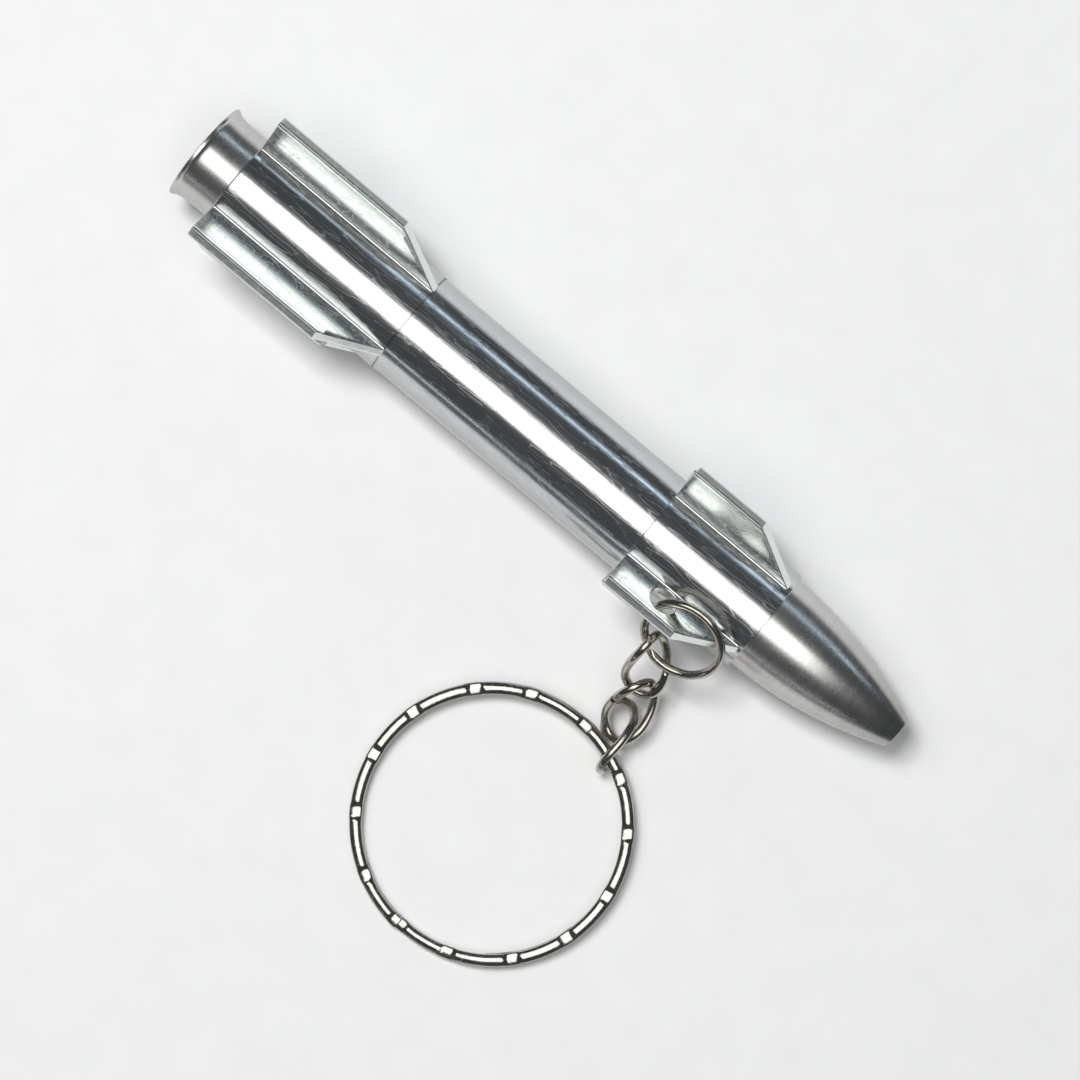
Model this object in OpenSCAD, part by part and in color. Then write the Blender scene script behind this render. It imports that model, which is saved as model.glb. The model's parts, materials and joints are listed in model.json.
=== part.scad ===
// Rocket key fob: a turned and finned aluminium rocket on a split key ring.
// The rocket lies along X with its nose towards +X, resting on its two lower
// fins. The jump ring, three twisted links and the key ring lead off towards -Y.
// Origin: bottom centre of the whole fob's bounding box. Millimetres, +Z up.

/* [Rocket body] */
// Length of the rocket from tail face to nose tip
body_length = 85; // [83:0.5:90]
// Radius of the turned barrel between the two fin sets
barrel_r = 5.35; // [5.1:0.05:5.4]
// Radius of the tube where it still carries its fins
finned_r = 5.45; // [5.4:0.05:5.6]
// Radius of the tail neck
neck_r = 4.6; // [4.3:0.05:4.9]
// Radius of the flared tail lip
lip_r = 5.05; // [4.95:0.05:5.3]
// Radius of the nose where it meets the shoulder
nose_r = 5.05; // [4.8:0.05:5.3]
// Radius of the flat nose tip
tip_r = 1.7; // [1.2:0.1:2.4]
// Depth of the nozzle recess in the tail
nozzle_depth = 3; // [2:0.5:3.5]

/* [Fins] */
// Where the tail fins start, from the tail face
tail_fin_start = 4.5; // [3.5:0.1:5.5]
// Where the tail fins' outer flanges end
tail_fin_flat_end = 19.5; // [17:0.5:21]
// Where the tail fins' slope meets the barrel
tail_fin_end = 25.3; // [24:0.1:27]
// Where the nose fins start
nose_fin_start = 54.7; // [53:0.1:56]
// Where the nose fins' outer flanges end
nose_fin_flat_end = 62.7; // [62:0.1:64]
// Where the nose fins' slope meets the shoulder
nose_fin_end = 68.3; // [67.5:0.1:68.6]
// Radius of the flanges' outer faces
fin_tip_r = 9.45; // [9.2:0.05:10]
// Thickness of the fin webs
web_t = 1; // [0.8:0.05:1.05]
// Width of the flange along each fin tip
flange_w = 1.15; // [1.1:0.05:1.6]
// Thickness of the flange
flange_t = 0.55; // [0.4:0.05:0.7]
// Radius of the key hole in one nose fin
hole_r = 1.45; // [1.4:0.05:1.5]
// Distance of the key hole from the rocket's axis
hole_radial = 7.1; // [7.05:0.05:7.15]

/* [Jump ring and links] */
// Wire diameter of the jump ring and the links
wire_d = 0.86; // [0.8:0.02:0.88]
// Radius of the jump ring's wire centre line
jump_r = 3.92; // [3.9:0.01:3.98]
// Slope of the jump ring's plane below horizontal
jump_slope = 42; // [40:1:45]
// Opening between the jump ring's cut ends, in degrees
jump_gap = 5; // [3:1:8]
// Wire centre to wire centre length of a link
link_length = 7; // [6.95:0.05:7.1]
// Wire centre to wire centre width of a link
link_width = 3.92; // [3.9:0.02:4]
// Twist of a link's ends either way from its middle, in degrees
link_twist = 40; // [38:1:42]

/* [Split ring] */
// Outside diameter of the key ring
ring_od = 27.2; // [27:0.1:27.6]
// Width of the ring's wire across the ring
ring_wire_w = 1.24; // [1.2:0.02:1.3]
// Height of one turn of the ring's wire
ring_wire_h = 0.85; // [0.75:0.05:0.85]
// Gap between the ring's two turns
ring_turn_gap = 0.04; // [0.03:0.01:0.06]

/* [Hidden] */

$fn = 64;
eps = 0.01;
wire_r = wire_d / 2;

// The rocket rests on the outer edges of its two lower fins, at 45 degrees
fin_angle = 45;
axis_height = (fin_tip_r + flange_w / 2) / sqrt(2);

// Nozzle recess, chamfers and the lip's flare
nozzle_mouth_r = 3.9;
nozzle_end_r = 3.2;
lip_land = 0.35;
flare_length = 2.2;
edge_chamfer = 0.12;
// The finned tube runs on past the foot of the fins' slope
finned_land = 0.4;
shoulder = nose_fin_end + finned_land;
curve_steps = 16;

// The nose is an arc that leaves the shoulder parallel to the axis
nose_length = body_length - shoulder;
nose_drop = nose_r - tip_r;
nose_arc_r = (nose_length * nose_length + nose_drop * nose_drop) / (2 * nose_drop);

// The jump ring crosses the fin's plane twice: in the hole, and past the slope
hole_offset = hole_radial / sqrt(2);
crossing_rise = 0.447;
jump_half_chord = jump_r * sqrt(1 - crossing_rise * crossing_rise);
jump_x = 63.8;
hole_x = jump_x - jump_half_chord - 0.2;
jump_centre = [jump_x,
               -hole_offset - jump_r * crossing_rise * cos(jump_slope),
               hole_offset - jump_r * crossing_rise * sin(jump_slope)];
jump_gap_at = 118;

// Each link hangs on the wire before it. dip is how far its axis points down,
// heading its direction in plan, roll its turn about its own axis, and slack
// how loosely it sits
contact_gap = 0.08;
heading = [-62, -81, -70];
dip = [38, 29, 3];
roll = [-23, -14, -117];
slack = [0.72, 0.42, 2.7];
function axis_of(h, d) = [cos(h) * cos(d), sin(h) * cos(d), -sin(d)];
function seat(i) = wire_d + contact_gap + slack[i];
function next_hook(hook, i) =
    hook + (link_length - seat(i)) * axis_of(heading[i], dip[i]);
hook_turn = 23;
hook_1 = jump_centre
    + jump_r * [-sin(hook_turn), -cos(hook_turn) * cos(jump_slope),
                -cos(hook_turn) * sin(jump_slope)];
hook_2 = next_hook(hook_1, 0);
hook_3 = next_hook(hook_2, 1);
hooks = [hook_1, hook_2, hook_3];
last_end = next_hook(hook_3, 2);

// The key ring passes through the last link and rests on its far side
ring_back = 1.8;
ring_heading = -108;
ring_hook = last_end - ring_back * axis_of(heading[2], dip[2]);
ring_r = (ring_od - ring_wire_w) / 2;
ring_stack = 2 * ring_wire_h + ring_turn_gap;
ring_tilt = asin((ring_hook[2] + axis_height - ring_stack / 2)
                 / (ring_r + ring_od / 2));
ring_centre = ring_hook + ring_r * axis_of(ring_heading, ring_tilt);

// A split ring runs nearly two turns and steps up once, where its ends face
// each other
ring_step_half = 20;
ring_ends_at = 35;
ring_turns_end = 720 - ring_step_half;
ring_pitch_angle = 5;

// The bounding box in plan sets the origin
ring_normal_y = sin(ring_tilt) * sin(ring_heading);
ring_reach_y = ring_od / 2 * sqrt(1 - ring_normal_y * ring_normal_y)
               + ring_stack / 2 * abs(ring_normal_y);
y_min = ring_centre[1] - ring_reach_y;
y_max = axis_height;
y_middle = (y_min + y_max) / 2;

module in_frame()
    translate([-body_length / 2, -y_middle, axis_height]) children();

// Outline of the turned body, as [radius, distance from the tail]
neck_curve = [for (i = [0 : curve_steps]) let (a = 90 * i / curve_steps)
    [neck_r + (lip_r - neck_r) * (1 - sin(a)),
     lip_land + flare_length * (1 - cos(a))]];
nose_curve = [for (i = [0 : curve_steps]) let (x = nose_length * i / curve_steps)
    [nose_r - nose_arc_r + sqrt(nose_arc_r * nose_arc_r - x * x), shoulder + x]];
body_outline = concat(
    [[0, nozzle_depth], [nozzle_end_r, nozzle_depth], [nozzle_mouth_r, 0],
     [lip_r - edge_chamfer, 0], [lip_r, edge_chamfer]],
    neck_curve,
    [[neck_r, tail_fin_start], [finned_r, tail_fin_start],
     [finned_r, tail_fin_end + finned_land], [barrel_r, tail_fin_end + finned_land],
     [barrel_r, nose_fin_start], [finned_r, nose_fin_start],
     [finned_r, shoulder]],
    nose_curve,
    [[0, body_length]]);

// One T-shaped fin standing along +Z: the web and flange, cut to a slope that
// runs on into the tube
module fin(start, flat_end, root_end) {
    run = 0.7 * finned_land;
    foot = root_end + run;
    foot_r = finned_r - run * (fin_tip_r - finned_r) / (root_end - flat_end);
    intersection() {
        union() {
            translate([start, -web_t / 2, finned_r / 2])
                cube([foot - start, web_t, fin_tip_r - finned_r / 2 - eps]);
            translate([start, -flange_w / 2, fin_tip_r - flange_t])
                cube([foot - start, flange_w, flange_t]);
        }
        rotate([90, 0, 0])
            linear_extrude(height = 2 * flange_w, center = true)
                polygon([[start, 0], [start, fin_tip_r], [flat_end, fin_tip_r],
                         [foot, foot_r], [foot, 0]]);
    }
}

module fin_set(start, flat_end, root_end)
    for (i = [0 : 3])
        rotate([fin_angle + 90 * i, 0, 0]) fin(start, flat_end, root_end);

// The turned body with both fin sets, in one piece, and its key hole
module rocket_body() color("silver") in_frame()
    difference() {
        union() {
            rotate([90, 0, 90]) rotate_extrude() polygon(body_outline);
            fin_set(tail_fin_start, tail_fin_flat_end, tail_fin_end);
            fin_set(nose_fin_start, nose_fin_flat_end, nose_fin_end);
        }
        rotate([fin_angle, 0, 0]) translate([hole_x, 0, hole_radial])
            rotate([90, 0, 0]) cylinder(r = hole_r, h = 2 * web_t, center = true);
    }

// An open ring of round wire
module jump_ring() color("lightslategray") in_frame()
    translate(jump_centre) rotate([180 + jump_slope, 0, 0])
        rotate([0, 0, jump_gap_at + jump_gap / 2])
            rotate_extrude(angle = 360 - jump_gap)
                translate([jump_r, 0]) circle(r = wire_r);

// Centre line of a twisted link, its near end at x = 0
link_points = 56;
link_sides = 10;
function eased(v, power) = sign(v) * pow(abs(v), power);
function link_point(i) =
    let (a = 360 * i / link_points,
         x = link_length / 2 * eased(cos(a), 0.85),
         w = link_width / 2 * eased(sin(a), 0.9),
         twist = link_twist * 2 * x / link_length)
    [x + link_length / 2, w * cos(twist), w * sin(twist)];

function unit(v) = v / norm(v);
// A ring of points round a centre line point, square to its direction
function wire_section(p, before, after) =
    let (along = unit(after - before),
         side = unit(cross(along, [0, 0, 1] + 0.001 * p)),
         up = cross(side, along))
    [for (j = [0 : link_sides - 1]) let (b = 360 * j / link_sides)
        p + wire_r * (cos(b) * side + sin(b) * up)];

// Faces that join each section to the next; closed joins the last to the first
function side_faces(rings, sides, closed) =
    [for (i = [0 : rings - (closed ? 1 : 2)], j = [0 : sides - 1])
        let (n = (i + 1) % rings, k = (j + 1) % sides)
        [i * sides + k, n * sides + k, n * sides + j, i * sides + j]];

module link_wire() {
    points = [for (i = [0 : link_points - 1])
        each wire_section(link_point(i), link_point(i - 1), link_point(i + 1))];
    polyhedron(points, side_faces(link_points, link_sides, true), convexity = 6);
}

module chain_link(i) color("gray") in_frame()
    translate(hooks[i]) rotate([0, dip[i], heading[i]]) rotate([roll[i], 0, 0])
        translate([-seat(i), 0, 0]) link_wire();

module chain_link_1() chain_link(0);
module chain_link_2() chain_link(1);
module chain_link_3() chain_link(2);

// Height of the wire's middle along the split ring's two turns
function ring_level(a) =
    let (s = min(1, max(0, (a - 360 + ring_step_half) / (2 * ring_step_half))),
         eased_s = s * s * (3 - 2 * s))
    (eased_s - 0.5) * (ring_wire_h + ring_turn_gap);

// Section of the ring's wire: a rectangle with cut corners
ring_corner = 0.22;
ring_section = let (w = ring_wire_w / 2, h = ring_wire_h / 2, c = ring_corner)
    [[w, -h + c], [w, h - c], [w - c, h], [-w + c, h],
     [-w, h - c], [-w, -h + c], [-w + c, -h], [w - c, -h]];

module split_ring() color("darkgray") in_frame()
    translate(ring_centre) rotate([0, ring_tilt, ring_heading])
        rotate([0, 0, ring_ends_at]) {
            span = ring_turns_end - ring_step_half;
            steps = round(span / ring_pitch_angle);
            sides = len(ring_section);
            points = [for (i = [0 : steps]) let (a = ring_step_half + span * i / steps)
                each [for (q = ring_section)
                    [(ring_r + q[0]) * cos(a), (ring_r + q[0]) * sin(a),
                     ring_level(a) + q[1]]]];
            caps = [[for (j = [sides - 1 : -1 : 0]) j],
                    [for (j = [0 : sides - 1]) steps * sides + j]];
            polyhedron(points,
                       concat(side_faces(steps + 1, sides, false), caps),
                       convexity = 6);
        }

rocket_body();
jump_ring();
chain_link_1();
chain_link_2();
chain_link_3();
split_ring();
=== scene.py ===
import json
import math

import bmesh
import bpy
from mathutils import Matrix, Vector


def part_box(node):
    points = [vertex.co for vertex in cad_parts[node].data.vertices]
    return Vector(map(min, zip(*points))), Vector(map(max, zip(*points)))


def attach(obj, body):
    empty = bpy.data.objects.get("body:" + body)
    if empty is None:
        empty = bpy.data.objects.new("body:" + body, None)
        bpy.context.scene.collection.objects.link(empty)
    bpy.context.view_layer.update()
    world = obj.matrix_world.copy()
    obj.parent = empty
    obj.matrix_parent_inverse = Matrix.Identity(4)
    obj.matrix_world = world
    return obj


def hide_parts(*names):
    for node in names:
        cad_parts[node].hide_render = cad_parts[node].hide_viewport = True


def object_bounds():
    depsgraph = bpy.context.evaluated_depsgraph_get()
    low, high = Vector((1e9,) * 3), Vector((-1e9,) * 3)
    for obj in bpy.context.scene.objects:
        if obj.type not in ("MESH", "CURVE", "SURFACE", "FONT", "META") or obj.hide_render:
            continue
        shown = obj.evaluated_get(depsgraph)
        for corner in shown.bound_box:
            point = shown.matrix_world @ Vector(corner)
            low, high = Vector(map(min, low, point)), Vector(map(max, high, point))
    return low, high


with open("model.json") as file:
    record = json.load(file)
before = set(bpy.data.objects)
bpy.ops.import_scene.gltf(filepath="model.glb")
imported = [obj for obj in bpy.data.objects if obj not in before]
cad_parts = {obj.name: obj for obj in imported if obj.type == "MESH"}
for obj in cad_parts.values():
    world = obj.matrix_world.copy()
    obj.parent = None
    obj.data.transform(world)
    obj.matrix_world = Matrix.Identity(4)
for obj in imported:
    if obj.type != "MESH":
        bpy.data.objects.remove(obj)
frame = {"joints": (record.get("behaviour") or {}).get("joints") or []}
cad_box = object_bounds()

# Shapes below are worked out in millimetres and scaled to metres when a mesh is made.
MM = 0.001

# ---- Sizes, in millimetres, as the CAD model has them ----

BARREL_R = 5.35
FINNED_R = 5.45
NECK_R = 4.6
LIP_R = 5.05
NOSE_R = 5.05
TIP_R = 1.7
NOZZLE_DEPTH = 3.0
NOZZLE_MOUTH_R = 3.9
NOZZLE_END_R = 3.2
LIP_LAND = 0.35
FLARE_LENGTH = 2.2

# Each fin set: where it starts, where its flange ends and where its slope ends.
# The finned tube runs on past the slope for the length of FINNED_LAND.
TAIL_FINS = (4.5, 19.5, 25.3)
NOSE_FINS = (54.7, 62.7, 68.3)
FINNED_LAND = 0.4
FIN_TIP_R = 9.45
FIN_TILT = math.radians(45)
WEB_HALF = 0.5
FLANGE_HALF = 0.575
FLANGE_UNDER = FIN_TIP_R - 0.55
HOLE_R = 1.45
HOLE_RADIAL = 7.1

# The jump ring: HOOK_TURN is how far round it the first link hangs, CROSSING_RISE the
# part of its radius above its middle where it crosses the fin, and HOLE_TO_WIRE how far
# the key hole's middle is from it there
WIRE_R = 0.43
JUMP_R = 3.92
JUMP_SLOPE = math.radians(42)
JUMP_GAP_AT = math.radians(118)
HOOK_TURN = math.radians(23)
CROSSING_RISE = 0.447
HOLE_TO_WIRE = 0.2

# The links: LINK_SEATS is how far behind its hook each link's near end lies, and the
# headings, dips and rolls are in degrees
LINK_LENGTH = 7.0
LINK_WIDTH = 3.92
LINK_TWIST = math.radians(40)
LINK_SEATS = (1.66, 1.36, 3.64)
LINK_HEADINGS = (-62, -81, -70)
LINK_DIPS = (38, 29, 3)
LINK_ROLLS = (-23, -14, -117)

# The key ring: RING_R is its wire's middle line, and its angles are in degrees
RING_R = 12.98
RING_WIRE_W = 1.24
RING_WIRE_H = 0.85
RING_TURN_GAP = 0.04
RING_HEADING = -108
RING_ENDS_AT = 35
RING_STEP_HALF = 20

# ---- Places, from the frame ----

joints = {j["name"]: j for j in frame["joints"]}


def joint_point(name):
    """A joint's point at rest, in millimetres."""
    return Vector(joints[name]["pos_m"]) / MM


rocket_low, rocket_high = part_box("rocket_body")
body_length = (rocket_high.x - rocket_low.x) / MM
axis_y = (rocket_low.y + rocket_high.y) / 2
axis_z = (rocket_low.z + rocket_high.z) / 2
ROCKET = Matrix.Translation((rocket_low.x, axis_y, axis_z)) @ Matrix.Scale(MM, 4)
TO_METRES = Matrix.Scale(MM, 4)


def turn(axis, degrees):
    return Matrix.Rotation(math.radians(degrees), 4, axis)


# ---- Materials ----

# Heights over the table between which the painted shade on the rocket's metal fades out: darkest
# below, none above
SHADE_BELOW = 8.0
UNSHADED_ABOVE = 10.8

# How far from the middle the card keeps its painted pool of light, and where its painted shade is
# darkest, in metres
LIT_POOL_TO = 0.14
PAINTED_SHADE_FROM = 0.36


class Nodes:
    """A short way to write a material's node tree."""

    def __init__(self, name):
        self.material = bpy.data.materials.new(name)
        self.material.use_nodes = True
        self.tree = self.material.node_tree
        self.shader = self.tree.nodes["Principled BSDF"]
        coordinates = self.add("ShaderNodeTexCoord")
        self.place = coordinates.outputs["Object"]

    def add(self, kind, **settings):
        node = self.tree.nodes.new(kind)
        for key, value in settings.items():
            setattr(node, key, value)
        return node

    def link(self, source, target):
        self.tree.links.new(source, target)

    def stretched(self, per_metre):
        """The object's coordinates, scaled by a different amount on each axis."""
        mapping = self.add("ShaderNodeMapping")
        mapping.inputs["Scale"].default_value = per_metre
        self.link(self.place, mapping.inputs["Vector"])
        return mapping.outputs["Vector"]

    def noise(self, per_metre, detail=3.0, roughness=0.55):
        """Noise from 0 to 1, with about per_metre features in a metre along each axis."""
        node = self.add("ShaderNodeTexNoise")
        node.inputs["Scale"].default_value = 1.0
        node.inputs["Detail"].default_value = detail
        node.inputs["Roughness"].default_value = roughness
        self.link(self.stretched(per_metre), node.inputs["Vector"])
        return node.outputs["Fac"]

    def remap(self, value, low, high, to_low, to_high):
        """Carries low to high over to to_low to to_high, and stops there."""
        node = self.add("ShaderNodeMapRange")
        for socket, number in zip(("From Min", "From Max", "To Min", "To Max"),
                                  (low, high, to_low, to_high)):
            node.inputs[socket].default_value = number
        self.link(value, node.inputs["Value"])
        return node.outputs["Result"]

    def math(self, operation, a, b):
        """One operation on two values, each of them a socket or a number."""
        node = self.add("ShaderNodeMath", operation=operation)
        for socket, value in zip(node.inputs, (a, b)):
            if isinstance(value, (int, float)):
                socket.default_value = value
            else:
                self.link(value, socket)
        return node.outputs[0]

    def painted_underside_shade(self, painted_shade):
        """1 on top of the rocket, falling to the value given on its underside: painted shade on the
        base colour.
        """
        parts = self.add("ShaderNodeSeparateXYZ")
        self.link(self.place, parts.inputs[0])
        return self.remap(parts.outputs["Z"], SHADE_BELOW * MM, UNSHADED_ABOVE * MM, painted_shade, 1.0)

    def tint(self, value, dark, light):
        """Colours the surface from dark where value is 0 to light where it is 1."""
        node = self.add("ShaderNodeMix", data_type="RGBA")
        node.inputs["A"].default_value = (*dark, 1)
        node.inputs["B"].default_value = (*light, 1)
        self.link(value, node.inputs["Factor"])
        self.link(node.outputs["Result"], self.shader.inputs["Base Color"])

    def bumps(self, *layers):
        """Bump layers on top of each other, each a height and its depth in millimetres."""
        normal = None
        for height, depth in layers:
            bump = self.add("ShaderNodeBump")
            bump.inputs["Distance"].default_value = depth * MM
            self.link(height, bump.inputs["Height"])
            if normal is not None:
                self.link(normal, bump.inputs["Normal"])
            normal = bump.outputs["Normal"]
        self.link(normal, self.shader.inputs["Normal"])

    def scratches(self, per_metre, thin, turned=0.0, seed=0.0):
        """Fine scratches along a noise's middle level: 1 on a scratch and 0 between them."""
        mapping = self.add("ShaderNodeMapping")
        mapping.inputs["Scale"].default_value = per_metre
        mapping.inputs["Rotation"].default_value = (0, 0, turned)
        mapping.inputs["Location"].default_value = (seed, seed, seed)
        self.link(self.place, mapping.inputs["Vector"])
        node = self.add("ShaderNodeTexNoise")
        node.inputs["Scale"].default_value = 1.0
        node.inputs["Detail"].default_value = 2.0
        self.link(mapping.outputs["Vector"], node.inputs["Vector"])
        ridge = self.math("ABSOLUTE", self.math("SUBTRACT", node.outputs["Fac"], 0.5), 0.0)
        return self.remap(ridge, 0.0, thin, 1.0, 0.0)


def polished_aluminium():
    """The barrel: polished along its length, with fine scuffs and handling marks."""
    n = Nodes("polished_aluminium")
    n.shader.inputs["Metallic"].default_value = 1.0
    streaks = n.noise((60, 2600, 2600), detail=4.0)
    mottle = n.noise((420, 1300, 1300), detail=5.0, roughness=0.62)
    scuffs = n.scratches((160, 1700, 1700), 0.014, seed=3.0)
    worn = n.noise((55, 160, 160), detail=2.0)
    rough = n.math("ADD", n.remap(streaks, 0.3, 0.7, 0.11, 0.18),
                   n.remap(worn, 0.35, 0.7, 0.0, 0.06))
    n.link(n.math("ADD", rough, n.math("MULTIPLY", scuffs, 0.16)),
           n.shader.inputs["Roughness"])
    # Base colour: random mottle, darkened by painted shade towards the underside
    n.tint(n.math("MULTIPLY", n.remap(mottle, 0.2, 0.8, 0.82, 1.0), n.painted_underside_shade(0.45)),
           (0.02, 0.023, 0.026), (0.76, 0.775, 0.785))
    n.bumps((streaks, 0.0025), (mottle, 0.004), (scuffs, 0.002))
    return n.material


def turned_aluminium():
    """The nose, neck and ends: satin, with the lathe's fine rings round the axis."""
    n = Nodes("turned_aluminium")
    n.shader.inputs["Metallic"].default_value = 1.0
    rings = n.noise((9000, 25, 25), detail=3.0)
    broad = n.noise((1500, 60, 60), detail=2.0)
    smear = n.noise((250, 500, 500), detail=4.0)
    rough = n.math("ADD", n.remap(rings, 0.3, 0.7, 0.22, 0.26),
                   n.remap(smear, 0.35, 0.7, 0.0, 0.06))
    n.link(rough, n.shader.inputs["Roughness"])
    # Base colour: broad random tone, darkened by painted shade towards the underside
    n.tint(n.math("MULTIPLY", n.remap(broad, 0.2, 0.8, 0.88, 1.0), n.painted_underside_shade(0.55)),
           (0.02, 0.02, 0.02), (0.76, 0.755, 0.74))
    n.bumps((broad, 0.001), (rings, 0.0004), (smear, 0.002))
    return n.material


def extruded_aluminium():
    """The fins: as they left the die, with faint lines along them."""
    n = Nodes("extruded_aluminium")
    n.shader.inputs["Metallic"].default_value = 1.0
    lines = n.noise((35, 4200, 4200), detail=3.0)
    cloud = n.noise((260, 420, 420), detail=4.0)
    nicks = n.scratches((700, 900, 900), 0.010, turned=0.4, seed=8.0)
    rough = n.math("ADD", n.remap(lines, 0.3, 0.7, 0.15, 0.24),
                   n.math("MULTIPLY", nicks, 0.12))
    n.link(rough, n.shader.inputs["Roughness"])
    n.tint(cloud, (0.76, 0.80, 0.785), (0.88, 0.91, 0.895))
    n.bumps((lines, 0.002), (cloud, 0.003), (nicks, 0.002))
    return n.material


def plated_steel(name, dark, light, smooth):
    """Nickel plate: bright, a little darker and duller where it is handled.

    smooth is its least roughness.
    """
    n = Nodes(name)
    n.shader.inputs["Metallic"].default_value = 1.0
    stain = n.noise((700, 700, 700), detail=4.0)
    grain = n.noise((5200, 5200, 5200), detail=2.0)
    rub = n.scratches((1500, 1900, 1700), 0.02, turned=0.9, seed=5.0)
    rough = n.math("ADD", n.remap(stain, 0.35, 0.7, smooth, smooth + 0.12),
                   n.math("MULTIPLY", rub, 0.10))
    n.link(rough, n.shader.inputs["Roughness"])
    n.tint(stain, dark, light)
    n.bumps((stain, 0.010), (grain, 0.0015), (rub, 0.002))
    return n.material


def pale_floor():
    """A sheet of card: a painted pool of light under the fob, and painted shade far out, so that
    metal mirrors it less.
    """
    n = Nodes("pale_floor")
    fibre = n.noise((220, 220, 220), detail=3.0)
    out = n.add("ShaderNodeVectorMath", operation="LENGTH")
    n.link(n.place, out.inputs[0])
    # Painted shade: the card's colour darkens with distance from the middle
    painted_shade = n.remap(out.outputs["Value"], LIT_POOL_TO, PAINTED_SHADE_FROM, 0.0, 0.75)
    card = n.math("MULTIPLY", n.remap(fibre, 0.3, 0.7, 0.97, 1.0), n.math("SUBTRACT", 1.0, painted_shade))
    n.tint(card, (0.02, 0.02, 0.021), (0.80, 0.802, 0.806))
    n.shader.inputs["Roughness"].default_value = 0.75
    n.bumps((fibre, 0.004))
    return n.material


# ---- Mesh helpers ----

# Points nearer than this are one point, and edges shorter than this go, in millimetres
SAME_POINT = 2e-4
NO_EDGE = 1e-4


def finish_piece(name, bm, matrix, materials, node, body, sharp=30):
    """Makes the piece, stands it in for its CAD node and lets it ride on its body."""
    bmesh.ops.remove_doubles(bm, verts=bm.verts, dist=SAME_POINT)
    bmesh.ops.dissolve_degenerate(bm, edges=bm.edges, dist=NO_EDGE)
    bmesh.ops.recalc_face_normals(bm, faces=bm.faces)
    mesh = bpy.data.meshes.new(name)
    bm.to_mesh(mesh)
    bm.free()
    mesh.transform(matrix)
    for material in materials:
        mesh.materials.append(material)
    piece = bpy.data.objects.new(name, mesh)
    bpy.context.scene.collection.objects.link(piece)
    mesh.shade_smooth()
    mesh.set_sharp_from_angle(angle=math.radians(sharp))
    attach(piece, body)
    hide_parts(node)
    return piece


def loft(bm, rings, material=0):
    """Joins rings of vertices with quads; every ring is a closed loop."""
    count = len(rings[0])
    for a, b in zip(rings, rings[1:]):
        for i in range(count):
            k = (i + 1) % count
            bm.faces.new((a[i], a[k], b[k], b[i])).material_index = material


def ring_of(bm, points):
    return [bm.verts.new(p) for p in points]


def rounded(s):
    """How far a quarter-round edge lies inside its corner: 1 at s = 0 and 0 at s = 1."""
    return 1 - math.sqrt(1 - (1 - s) ** 2)


# ---- The rocket ----

# Steps along the tube's arc from a fin to midway to the next
ARC_STEPS = 22
# Rounded edges: at the fins' starts, at the body's two ends and along the flanges
EDGE = 0.08
END_EDGE = 0.12
CORNER = 0.07
# The fillet at each fin's root, and what its flange keeps of a flat underside
ROOT_FILLET = 0.22
LEDGE = 0.005


def arc(centre, radius, start, end, steps):
    """Points on an arc in the (y, z) plane, angles in degrees from +y."""
    found = []
    for i in range(steps + 1):
        a = math.radians(start + (end - start) * i / steps)
        found.append((centre[0] + radius * math.cos(a), centre[1] + radius * math.sin(a)))
    return found


def half_fin(top, tube_r, inset):
    """One side of a fin's outline, from the middle of its top down to the tube.

    Where the top is under the flange only the web is left, and the flange's
    points gather on the web's edge.
    """
    web = WEB_HALF - inset
    top = top - inset
    fillet = ROOT_FILLET + inset
    fillet_y = web + fillet
    fillet_z = math.sqrt((tube_r + fillet) ** 2 - fillet_y ** 2)
    touch = math.degrees(math.atan2(fillet_z, fillet_y))
    if top > FLANGE_UNDER + inset + 2 * CORNER:
        half = FLANGE_HALF - inset
        under = FLANGE_UNDER + inset
        small = half - web - LEDGE
        points = [(0, top), (half / 2, top)]
        points += arc((half - CORNER, top - CORNER), CORNER, 90, 0, 4)
        points += arc((half - small, under + small), small, 0, -90, 3)
        points += [(web, under), (web, under - 0.15)]
    else:
        points = [(0, top), (web / 2, top)]
        points += arc((web - CORNER, top - CORNER), CORNER, 90, 0, 4)
        points += [(web, top - CORNER)] * 6
    low = min(fillet_z, top - CORNER)
    points += [(web, points[-1][1] * (1 - s) + low * s) for s in (0.25, 0.5, 0.75)]
    points += [(y, min(z, low)) for y, z in
               arc((fillet_y, fillet_z), fillet, 180, 180 + touch, 6)]
    return points


FIN_POINTS = len(half_fin(FIN_TIP_R, FINNED_R, 0))


def half_outline(top, tube_r, inset=0.0):
    """A fin's half outline and the tube's arc as far as midway to the next fin.

    Without a fin, top is None, and every point lies on the tube.
    """
    radius = tube_r - inset
    shape = half_fin(FIN_TIP_R, FINNED_R, 0)
    root = math.atan2(shape[-1][0], shape[-1][1])
    even = [root * i / (FIN_POINTS - 1) for i in range(FIN_POINTS)]
    if top is None:
        points = [(radius * math.sin(a), radius * math.cos(a)) for a in even]
        start = root
    else:
        points = []
        for a, (y, z) in zip(even, half_fin(top, radius, inset)):
            if math.hypot(y, z) < radius:
                y, z = radius * math.sin(a), radius * math.cos(a)
            points.append((y, z))
        start = math.atan2(points[-1][0], points[-1][1])
    for i in range(1, ARC_STEPS + 1):
        a = start + (math.pi / 4 - start) * i / ARC_STEPS
        points.append((radius * math.sin(a), radius * math.cos(a)))
    return points


def section(x, tube_r, top=None, inset=0.0):
    """All the points of the body's cross-section at x, round the axis."""
    half = half_outline(top, tube_r, inset)
    one_fin = [(-y, z) for y, z in reversed(half[1:-1])] + half
    points = []
    for k in range(4):
        turned = FIN_TILT + k * math.pi / 2
        c, s = math.cos(turned), math.sin(turned)
        points += [Vector((x, c * y + s * z, -s * y + c * z)) for y, z in one_fin]
    return points


# A station is a cross-section of the body: (x, tube radius, fin top, inset)


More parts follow.
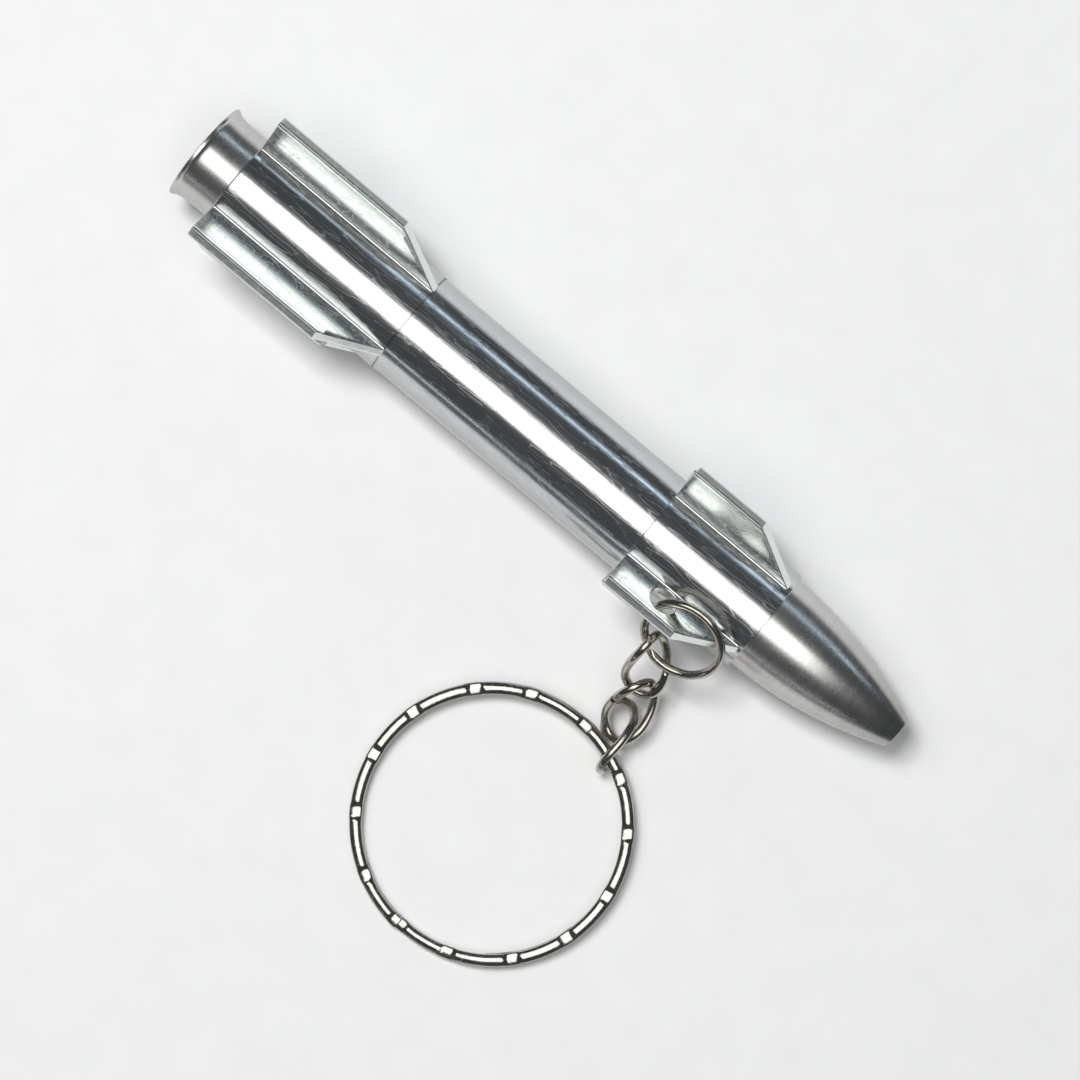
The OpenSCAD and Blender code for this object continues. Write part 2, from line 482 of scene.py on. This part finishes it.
def fin_rows(span):
    """Stations along a finned stretch: a softened start, the flange, then the slope."""
    start, flat_end, end = span
    rows = []
    for s in (0.0, 0.3, 0.65, 1.0):
        rows.append((start + EDGE * s, FINNED_R, FIN_TIP_R, EDGE * rounded(s)))
    steps = int((flat_end - start) / 0.8)
    for i in range(1, steps + 1):
        rows.append((start + EDGE + (flat_end - start - EDGE) * i / steps,
                     FINNED_R, FIN_TIP_R, 0.0))
    fall = (FIN_TIP_R - FINNED_R) / (end - flat_end)
    # The flange is gone where the slope is this far down, and two tops close by end it
    flange_gone = FLANGE_UNDER + 2 * CORNER
    tops = [FIN_TIP_R - 0.15, flange_gone + 0.002, flange_gone - 0.002]
    steps = 9
    foot = FINNED_R + ROOT_FILLET + 0.1
    tops += [tops[-1] + (foot - tops[-1]) * i / steps for i in range(1, steps + 1)]
    tops += [FINNED_R + rise for rise in (0.22, 0.14, 0.08, 0.04)]
    for top in tops:
        rows.append((flat_end + (FIN_TIP_R - top) / fall, FINNED_R, top, 0.0))
    rows.append((end, FINNED_R, None, 0.0))
    return rows


def tail_rows():
    """Stations from the tail lip, along its flare and the neck, to the tail fins."""
    rows = []
    for s in (0.0, 0.35, 0.7, 1.0):
        rows.append((END_EDGE * s, LIP_R - END_EDGE * rounded(s), None, 0.0))
    steps = 16
    for i in range(1, steps + 1):
        a = math.pi / 2 * i / steps
        rows.append((LIP_LAND + FLARE_LENGTH * (1 - math.cos(a)),
                     NECK_R + (LIP_R - NECK_R) * (1 - math.sin(a)), None, 0.0))
    rows.append((TAIL_FINS[0] - 0.15, NECK_R, None, 0.0))
    rows.append((TAIL_FINS[0], NECK_R + 0.1, None, 0.0))
    return rows


def barrel_rows():
    """Stations from the tail fins' land to the nose fins, with a soft step down."""
    start = TAIL_FINS[2] + FINNED_LAND
    end = NOSE_FINS[0]
    step = FINNED_R - BARREL_R
    rows = [(start - 0.6 + 0.2 * i, FINNED_R - step * ease, None, 0.0)
            for i, ease in enumerate((0.0, 0.1, 0.35, 0.65, 0.9, 1.0))]
    steps = 16
    for i in range(1, steps):
        rows.append((start + (end - start) * i / steps, BARREL_R, None, 0.0))
    rows.append((end - 0.05, BARREL_R, None, 0.0))
    rows.append((end, BARREL_R + 0.02, None, 0.0))
    return rows


def nose_rows():
    """Stations from the shoulder along the nose's arc to its flat tip."""
    shoulder = NOSE_FINS[2] + FINNED_LAND
    length = body_length - shoulder
    drop = NOSE_R - TIP_R
    arc_r = (length * length + drop * drop) / (2 * drop)
    rows = [(shoulder - 0.06, FINNED_R, None, 0.0), (shoulder - 0.015, FINNED_R - 0.03, None, 0.0),
            (shoulder, FINNED_R - 0.08, None, 0.0), (shoulder + 0.01, NOSE_R, None, 0.0)]
    steps = 40
    for i in range(1, steps):
        x = length * i / steps
        rows.append((shoulder + x, NOSE_R - arc_r + math.sqrt(arc_r * arc_r - x * x), None, 0.0))
    for s in (0.0, 0.5, 0.85, 1.0):
        rows.append((body_length - END_EDGE * (1 - s), TIP_R + 0.03 - END_EDGE * rounded(1 - s),
                     None, 0.0))
    return rows


def fin_caps(bm, circle, outline):
    """The flat starting faces of the four fins, between the tube and the outline."""
    per_fin = len(circle) // 4
    middle = per_fin // 2
    reach = FIN_POINTS - 1
    for k in range(4):
        index = [(k * per_fin + middle - 1 + i) % len(circle) for i in range(-reach, reach + 1)]
        outer = [outline[i] for i in index]
        inner = [circle[i] for i in reversed(index[1:-1])]
        bm.faces.new(outer + inner)


def make_rocket():
    """The whole body but for its key hole, as a mesh along +X from the tail face."""
    bm = bmesh.new()
    turned, polished, extruded = 0, 1, 2

    def add(rows, start_ring=None, material=polished):
        rings = [ring_of(bm, section(*row)) for row in rows]
        if start_ring:
            rings.insert(0, start_ring)
        loft(bm, rings, material=material)
        return rings[-1]

    # Tail face and nozzle recess, from the middle outwards
    nozzle = [(NOZZLE_DEPTH, 0.4), (NOZZLE_DEPTH, NOZZLE_END_R - 0.3),
              (NOZZLE_DEPTH - 0.09, NOZZLE_END_R - 0.09), (NOZZLE_DEPTH - 0.3, NOZZLE_END_R + 0.05),
              (0.1, NOZZLE_MOUTH_R - 0.05), (0.03, NOZZLE_MOUTH_R - 0.01),
              (0.0, NOZZLE_MOUTH_R + 0.08), (0.0, 4.4)]
    first = ring_of(bm, section(nozzle[0][0], nozzle[0][1]))
    bm.faces.new(first).material_index = turned
    last = add([(x, r) for x, r in nozzle[1:]], first, turned)
    last = add(tail_rows(), last, turned)

    def add_fins(span, before):
        rows = fin_rows(span)
        x, tube_r, top, inset = rows[0]
        circle = ring_of(bm, section(x, tube_r - inset))
        loft(bm, [before, circle], material=turned)
        outline = ring_of(bm, section(x, tube_r, top, inset))
        fin_caps(bm, circle, outline)
        return add(rows[1:], outline, polished)

    last = add_fins(TAIL_FINS, last)
    last = add(barrel_rows(), last, polished)
    last = add_fins(NOSE_FINS, last)
    rows = nose_rows()
    last = add(rows[:2], last, polished)
    last = add(rows[2:], last, turned)
    tip = [(body_length, 1.2), (body_length, 0.5), (body_length - 0.05, 0.15)]
    last = add(tip, last, turned)
    bm.faces.new(last).material_index = turned

    bmesh.ops.remove_doubles(bm, verts=bm.verts, dist=SAME_POINT)
    bmesh.ops.recalc_face_normals(bm, faces=bm.faces)
    for face in bm.faces:
        centre = face.calc_center_median()
        if math.hypot(centre.y, centre.z) > FINNED_R + 0.02:
            face.material_index = extruded
    return bm


def hole_cutter():
    """A round cutter with flared ends, which breaks the key hole's edges."""
    bm = bmesh.new()
    flare = 0.1
    past = 1.2
    sides = 64
    half = [(WEB_HALF - flare, HOLE_R), (WEB_HALF - flare * 0.5, HOLE_R + flare * 0.12),
            (WEB_HALF, HOLE_R + flare * 0.6), (past, HOLE_R + flare * 0.6)]
    rings = []
    for y, r in [(-y, r) for y, r in reversed(half)] + half:
        rings.append(ring_of(bm, [(r * math.cos(2 * math.pi * i / sides), y,
                                   r * math.sin(2 * math.pi * i / sides)) for i in range(sides)]))
    loft(bm, rings)
    bm.faces.new(rings[0])
    bm.faces.new(rings[-1])
    bmesh.ops.recalc_face_normals(bm, faces=bm.faces)
    jump_x = joint_point("jump_ring_swing").x - rocket_low.x / MM
    half_chord = JUMP_R * math.sqrt(1 - CROSSING_RISE ** 2)
    hole_x = jump_x - half_chord - HOLE_TO_WIRE
    place = Matrix.Rotation(FIN_TILT, 4, "X") @ Matrix.Translation((hole_x, 0, HOLE_RADIAL))
    mesh = bpy.data.meshes.new("hole_cutter")
    bm.to_mesh(mesh)
    bm.free()
    mesh.transform(place)
    return mesh


def drilled(bm):
    """The body with its key hole cut through one nose fin."""
    blank = bpy.data.meshes.new("blank")
    bm.to_mesh(blank)
    bm.free()
    body = bpy.data.objects.new("blank", blank)
    cutter = bpy.data.objects.new("cutter", hole_cutter())
    for o in (body, cutter):
        bpy.context.scene.collection.objects.link(o)
    cut = body.modifiers.new("key_hole", "BOOLEAN")
    cut.operation = "DIFFERENCE"
    cut.solver = "EXACT"
    cut.object = cutter
    bpy.context.view_layer.update()
    result = body.evaluated_get(bpy.context.evaluated_depsgraph_get()).to_mesh()
    out = bmesh.new()
    out.from_mesh(result)
    bpy.data.objects.remove(body)
    bpy.data.objects.remove(cutter)
    return out


finish_piece("rocket_body_turned", drilled(make_rocket()), ROCKET,
             [turned_aluminium(), polished_aluminium(), extruded_aluminium()],
             "rocket_body", "rocket")

# ---- Wire parts ----


def sweep(points, ups, shape):
    """A bmesh of wire along points. ups are the section's upward directions there.

    shape(i) gives the section at point i as (side, up) offsets.
    """
    bm = bmesh.new()
    rings = []
    for i, p in enumerate(points):
        before = points[i - 1] if i > 0 else p
        after = points[i + 1] if i < len(points) - 1 else p
        along = (after - before).normalized()
        side = along.cross(ups[i]).normalized()
        up = side.cross(along)
        rings.append(ring_of(bm, [p + side * u + up * v for u, v in shape(i)]))
    loft(bm, rings)
    bm.faces.new(rings[0])
    bm.faces.new(list(reversed(rings[-1])))
    return bm


def round_wire(scale_side, scale_up, sides=24):
    """A round wire's section, scaled across the wire's side and up."""
    return [(WIRE_R * scale_side * math.cos(2 * math.pi * j / sides),
             WIRE_R * scale_up * math.sin(2 * math.pi * j / sides)) for j in range(sides)]


def end_round(distance, soft=0.08):
    """How much of its size a cut wire has, at a distance in millimetres from its end."""
    least = 0.82
    if distance >= soft:
        return 1.0
    return least + (1 - least) * math.sqrt(1 - (1 - distance / soft) ** 2)


def make_jump_ring(material):
    """The open ring: its ends are sheared to a wedge and stand a little apart."""
    hook = joint_point("link_1_swing")
    down = math.cos(HOOK_TURN)
    centre = hook - JUMP_R * Vector((-math.sin(HOOK_TURN), -down * math.cos(JUMP_SLOPE),
                                     -down * math.sin(JUMP_SLOPE)))
    place = Matrix.Translation(centre) @ Matrix.Rotation(math.pi + JUMP_SLOPE, 4, "X")
    half_gap = math.radians(2.5)
    steps = 150
    crowding = 0.12
    # Its ends stand this far to each side, over this length of wire
    apart = 0.16
    bent = 6.0
    # The sheared wedge's length, and its thickness at the very end
    wedge = 0.75
    thinnest = 0.28
    points = []
    distances = []
    span = 2 * math.pi - 2 * half_gap
    for i in range(steps + 1):
        s = i / steps
        # Points close up towards both ends, where the wedge needs them
        s = s - crowding * math.sin(2 * math.pi * s) / (2 * math.pi)
        a = JUMP_GAP_AT + half_gap + span * s
        from_end = min(s, 1 - s) * span * JUMP_R
        lean = apart * max(0.0, 1 - from_end / bent) ** 2
        points.append(place @ Vector((JUMP_R * math.cos(a), JUMP_R * math.sin(a),
                                      lean if s < 0.5 else -lean)))
        distances.append(from_end)
    normal = (place.to_3x3() @ Vector((0, 0, 1))).normalized()

    def shape(i):
        thin = thinnest + (1 - thinnest) * min(1.0, distances[i] / wedge)
        return round_wire(1.0 if distances[i] > 0.1 else 0.9, thin)

    bm = sweep(points, [normal] * len(points), shape)
    return finish_piece("jump_ring_wire", bm, TO_METRES, [material], "jump_ring", "jump_ring",
                        sharp=50)


def link_point(a):
    """A point on a twisted link's centre line, its near end at x = 0."""

    def eased(v, power):
        return math.copysign(abs(v) ** power, v)

    x = LINK_LENGTH / 2 * eased(math.cos(a), 0.85)
    w = LINK_WIDTH / 2 * eased(math.sin(a), 0.9)
    twist = LINK_TWIST * 2 * x / LINK_LENGTH
    return Vector((x + LINK_LENGTH / 2, w * math.cos(twist), w * math.sin(twist)))


def link_places():
    """Each link's matrix, hung on the wire before it."""
    hook = joint_point("link_1_swing")
    found = []
    for seat, heading, dip, roll in zip(LINK_SEATS, LINK_HEADINGS, LINK_DIPS, LINK_ROLLS):
        swing = turn("Z", heading) @ turn("Y", dip)
        found.append(Matrix.Translation(hook) @ swing @ turn("X", roll)
                     @ Matrix.Translation((-seat, 0, 0)))
        hook = hook + swing.to_3x3() @ Vector((LINK_LENGTH - seat, 0, 0))
    return found


def make_link(number, place, material):
    """A link of round wire, twisted along its length, with its butt joint on one side."""
    steps = 180
    joint_at = math.radians(82 if number % 2 else -98)
    slit = math.radians(0.9)
    points = [link_point(joint_at + slit + (2 * math.pi - 2 * slit) * i / steps)
              for i in range(steps + 1)]
    middle = Vector((LINK_LENGTH / 2, 0, 0))
    ups = [(p - middle).normalized() for p in points]
    lengths = [0.0]
    for p, q in zip(points, points[1:]):
        lengths.append(lengths[-1] + (q - p).length)

    def shape(i):
        size = end_round(min(lengths[i], lengths[-1] - lengths[i]))
        # The pliers that twisted the link left its long sides a little flat
        along = abs(points[i].x - LINK_LENGTH / 2) / (LINK_LENGTH / 2)
        flat = 1.0 - 0.05 * max(0.0, 1 - along * 1.6)
        return round_wire(size, size * flat)

    bm = sweep(points, ups, shape)
    name = f"chain_link_{number}"
    return finish_piece(f"{name}_wire", bm, TO_METRES @ place, [material], name, f"link_{number}",
                        sharp=50)


# ---- The key ring ----

# The embossed dents round the ring, the first at DENT_PHASE from the ring's ends. Each
# is flat for DENT_FLAT either way from its middle, and rises over DENT_SLOPE
DENTS = 14
DENT_PHASE = math.radians(14.5 - RING_ENDS_AT)
DENT_FLAT = 0.38
DENT_SLOPE = 0.6
DENT_DEPTH = 0.17
# The radius of the wire's crowned face, and how much of the crown a dent presses flat
CROWN_R = 0.85
CROWN_PRESSED = 0.6


def smooth_step(v):
    v = min(1.0, max(0.0, v))
    return v * v * (3 - 2 * v)


def dent_at(angle):
    """0 between the dents and 1 on a dent's flat, at an angle round the ring."""
    pitch = 2 * math.pi / DENTS
    angle = angle - DENT_PHASE
    nearest = round(angle / pitch)
    # The embossing roller slips a little, so the dents aren't quite evenly spaced
    centre = (nearest + 0.05 * math.sin(nearest * 2.4)) * pitch
    distance = abs(angle - centre) * RING_R
    return 1 - smooth_step((distance - DENT_FLAT) / DENT_SLOPE)


def ring_section(dent):
    """The flattened wire's section: crowned faces, pressed flat and wide at a dent."""
    narrowest = 0.93
    half_w = RING_WIRE_W / 2 * (narrowest + (1 - narrowest) * dent)
    half_h = RING_WIRE_H / 2
    corner = 0.17
    cut = corner * 0.55
    reach = half_w - cut

    def face_height(u):
        crown = CROWN_R - math.sqrt(CROWN_R ** 2 - u * u)
        return half_h - crown * (1 - CROWN_PRESSED * dent) - DENT_DEPTH * dent

    points = []
    across = 12
    for sign in (1, -1):
        for i in range(across + 1):
            u = sign * reach * (1 - 2 * i / across)
            points.append((u, sign * face_height(u)))
        side = -sign
        low = sign * (face_height(reach) - cut)
        points += [(side * (half_w - corner * 0.18), low + sign * corner * 0.28),
                   (side * half_w, low), (side * half_w, -low),
                   (side * (half_w - corner * 0.18), -low - sign * corner * 0.28)]
    return points


def make_split_ring(material):
    """The key ring: nearly two turns of wire, with one step up where its ends meet."""
    hook = joint_point("key_ring_swing")
    stack = 2 * RING_WIRE_H + RING_TURN_GAP
    tilt = math.asin((hook.z - stack / 2) / (RING_R + RING_R + RING_WIRE_W / 2))
    swing = turn("Z", RING_HEADING) @ turn("Y", math.degrees(tilt))
    centre = hook + swing.to_3x3() @ Vector((RING_R, 0, 0))
    place = Matrix.Translation(centre) @ swing @ turn("Z", RING_ENDS_AT)
    first = math.radians(RING_STEP_HALF)
    last = math.radians(720 - RING_STEP_HALF)
    steps = 1500
    points = []
    ups = []
    dents = []
    for i in range(steps + 1):
        a = first + (last - first) * i / steps
        rise = smooth_step((math.degrees(a) - 360 + RING_STEP_HALF) / (2 * RING_STEP_HALF)) - 0.5
        level = rise * (RING_WIRE_H + RING_TURN_GAP)
        points.append(place @ Vector((RING_R * math.cos(a), RING_R * math.sin(a), level)))
        ups.append(place.to_3x3() @ Vector((0, 0, 1)))
        dents.append(dent_at(a))
    length_per_step = (last - first) * RING_R / steps

    def shape(i):
        size = end_round(min(i, steps - i) * length_per_step, 0.15)
        return [(u * size, v * size) for u, v in ring_section(dents[i])]

    bm = sweep(points, ups, shape)
    return finish_piece("split_ring_wire", bm, TO_METRES, [material], "split_ring", "key_ring",
                        sharp=50)


wire_plate = plated_steel("plated_wire", (0.42, 0.40, 0.35), (0.58, 0.56, 0.50), 0.11)
ring_plate = plated_steel("plated_ring", (0.46, 0.44, 0.40), (0.62, 0.60, 0.56), 0.10)
make_jump_ring(wire_plate)
for number, place in enumerate(link_places(), 1):
    make_link(number, place, wire_plate)
make_split_ring(ring_plate)

# ---- Floor, lights and camera ----


FLOOR_HALF = 3.0


def make_floor():
    bm = bmesh.new()
    corners = [(-FLOOR_HALF, -FLOOR_HALF), (FLOOR_HALF, -FLOOR_HALF),
               (FLOOR_HALF, FLOOR_HALF), (-FLOOR_HALF, FLOOR_HALF)]
    bm.faces.new([bm.verts.new((x, y, cad_box[0].z)) for x, y in corners])
    mesh = bpy.data.meshes.new("floor")
    bm.to_mesh(mesh)
    bm.free()
    mesh.materials.append(pale_floor())
    floor = bpy.data.objects.new("floor", mesh)
    bpy.context.scene.collection.objects.link(floor)


def soft_light(name, across_tilt, distance, width, length, watts, colour=(1, 1, 1), x=0.0):
    """A long soft box over the rocket, leaning from overhead towards +Y by an angle.

    It lies along X, turned to the rocket's axis, with its middle at x. Sizes in metres.
    """
    light = bpy.data.lights.new(name, "AREA")
    light.shape = "RECTANGLE"
    light.size = length
    light.size_y = width
    light.energy = watts
    light.color = colour
    lamp = bpy.data.objects.new(name, light)
    bpy.context.scene.collection.objects.link(lamp)
    a = math.radians(across_tilt)
    lamp.location = (x, axis_y + distance * math.sin(a), axis_z + distance * math.cos(a))
    lamp.rotation_euler = (-a, 0, 0)
    return lamp


make_floor()
# The key gives the long highlight on top, and the strips a thin line down each side.
# The card light gives the floor its light and the soft shadow, and metal doesn't see it.
soft_light("key", -6, 0.70, 0.46, 0.80, 2.5, (1.0, 0.985, 0.96), x=-0.10)
soft_light("cool_strip", 59, 0.70, 0.05, 0.9, 0.30, (0.70, 0.86, 1.0))
soft_light("low_strip", -76, 0.70, 0.03, 0.9, 0.12)
soft_light("card_light", 4, 0.72, 0.16, 0.22, 4.0, x=-0.20).visible_glossy = False

world = bpy.data.worlds.new("studio")
bpy.context.scene.world = world
world.use_nodes = True
world.node_tree.nodes["Background"].inputs["Color"].default_value = (0.9, 0.95, 1.0, 1)
world.node_tree.nodes["Background"].inputs["Strength"].default_value = 0.07

# The photograph looks straight down on the table, turned to one side, in metres
CAMERA_HEIGHT = 0.413
CAMERA_OVER = (0.0052, 0.01123)
CAMERA_TURN = 40
VIEW_WIDTH = 0.1032
SENSOR = 36.0

camera_data = bpy.data.cameras.new("camera")
camera_data.sensor_width = SENSOR
camera_data.lens = SENSOR * CAMERA_HEIGHT / VIEW_WIDTH
camera_data.clip_start = 0.01
camera = bpy.data.objects.new("camera", camera_data)
bpy.context.scene.collection.objects.link(camera)
camera.location = (*CAMERA_OVER, CAMERA_HEIGHT)
camera.rotation_euler = (0, 0, math.radians(CAMERA_TURN))
bpy.context.scene.camera = camera
bpy.context.scene.view_settings.view_transform = "Standard"
